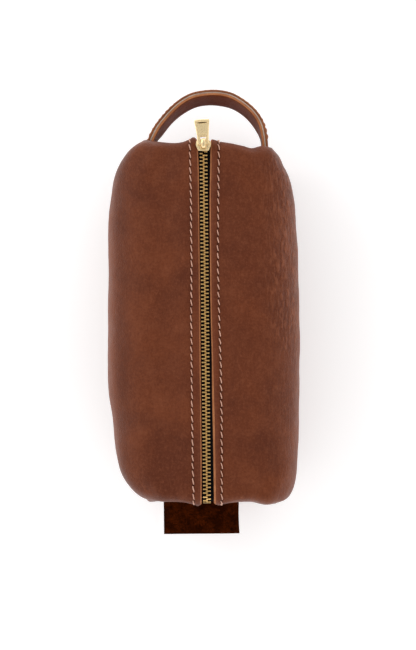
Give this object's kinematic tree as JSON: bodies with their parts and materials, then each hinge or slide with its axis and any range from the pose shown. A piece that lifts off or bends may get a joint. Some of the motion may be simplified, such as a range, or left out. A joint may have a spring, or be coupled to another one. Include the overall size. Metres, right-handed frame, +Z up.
{
  "type": "shaving kit bag",
  "caption": "Soft leather wash bag with boxed ends, a full-length metal zip on top, a loop handle at one end and a plain leather tab at the other.",
  "frame": {"origin": "centre of the flat base the bag stands on", "axes": "+Z up, the zip runs along Y, +Y towards the handle end, -Y towards the tab end"},
  "size_m": [0.136, 0.3172, 0.1139],
  "materials": {
    "leather": "full-grain, semi-matt",
    "raw_leather": "rough flesh side",
    "brass": "polished",
    "zip_tape": "woven tape",
    "thread": "waxed thread"
  },
  "bodies": {
    "bag": {"hide_lower_shell": "leather", "zip_tape_handle_end": "zip_tape", "zip_tape_tab_end": "zip_tape", "zip_teeth_handle_end_left": "brass", "zip_teeth_handle_end_right": "brass", "zip_teeth_tab_end_left": "brass", "zip_teeth_tab_end_right": "brass", "stitch_row_handle_end_left": "thread", "stitch_row_handle_end_right": "thread", "stitch_row_tab_end_left": "thread", "stitch_row_tab_end_right": "thread", "handle_foot_left": "leather", "handle_foot_right": "leather"},
    "left_flap": {"hide_top_left": "leather", "zip_tape_left": "zip_tape", "zip_teeth_left": "brass", "stitch_row_left": "thread"},
    "right_flap": {"hide_top_right": "leather", "zip_tape_right": "zip_tape", "zip_teeth_right": "brass", "stitch_row_right": "thread"},
    "slider": {"slider_body": "brass"},
    "pull": {"pull_tab": "brass"},
    "handle": {"handle_outer_ply": "leather", "handle_inner_ply": "leather", "handle_stitch_upper": "thread", "handle_stitch_lower": "thread"},
    "end_tab": {"end_tab": "raw_leather"}
  },
  "joints": [
    {"name": "left_flap_fold", "type": "hinge", "parent": "bag", "child": "left_flap", "pos_m": [-0.0625, 0, 0.09], "axis": [0, -1, 0], "range_deg": [0, 65]},
    {"name": "right_flap_fold", "type": "hinge", "parent": "bag", "child": "right_flap", "pos_m": [0.0625, 0, 0.09], "axis": [0, 1, 0], "range_deg": [0, 65]},
    {"name": "zip_slide", "type": "slide", "parent": "bag", "child": "slider", "axis": [0, -1, 0], "range_m": [0, 0.235]},
    {"name": "pull_swing", "type": "hinge", "parent": "slider", "child": "pull", "pos_m": [0, 0.121, 0.11135], "axis": [1, 0, 0], "range_deg": [0, 185]},
    {"name": "handle_swing", "type": "hinge", "parent": "bag", "child": "handle", "pos_m": [0, 0.1278, 0.064], "axis": [1, 0, 0], "range_deg": [-35, 55], "stiffness_Nm_per_rad": 0.5},
    {"name": "end_tab_flex", "type": "hinge", "parent": "bag", "child": "end_tab", "pos_m": [0, -0.1278, 0.052], "axis": [1, 0, 0], "range_deg": [-50, 50], "stiffness_Nm_per_rad": 0.1}
  ]
}
